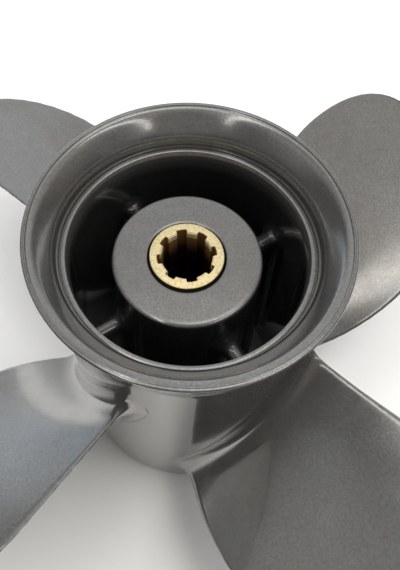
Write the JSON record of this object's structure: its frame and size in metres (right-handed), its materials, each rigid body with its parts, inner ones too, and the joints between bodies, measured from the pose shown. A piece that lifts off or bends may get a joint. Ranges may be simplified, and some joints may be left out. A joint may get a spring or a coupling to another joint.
{
  "type": "outboard propeller",
  "caption": "Right-handed outboard engine propeller: raked blades on a through-exhaust hub with a flared aft ring, inner webs, a rubber bush and a splined brass sleeve.",
  "frame": {"origin": "on the shaft axis, at the front end of the hub that the propeller stands on", "axes": "+Z along the shaft axis, pointing aft towards the flared ring"},
  "size_m": [0.1898, 0.1898, 0.0965],
  "materials": {
    "casting": "gloss grey paint over cast aluminium",
    "rubber": "matt black",
    "brass": "machined"
  },
  "bodies": {
    "root": {"outer_hub": "casting", "diffuser_ring": "casting", "inner_hub": "casting", "web_1": "casting", "web_2": "casting", "web_3": "casting", "web_4": "casting", "blade_1": "casting", "blade_2": "casting", "blade_3": "casting", "blade_4": "casting", "rubber_bush": "rubber", "splined_sleeve": "brass"}
  },
  "joints": []
}
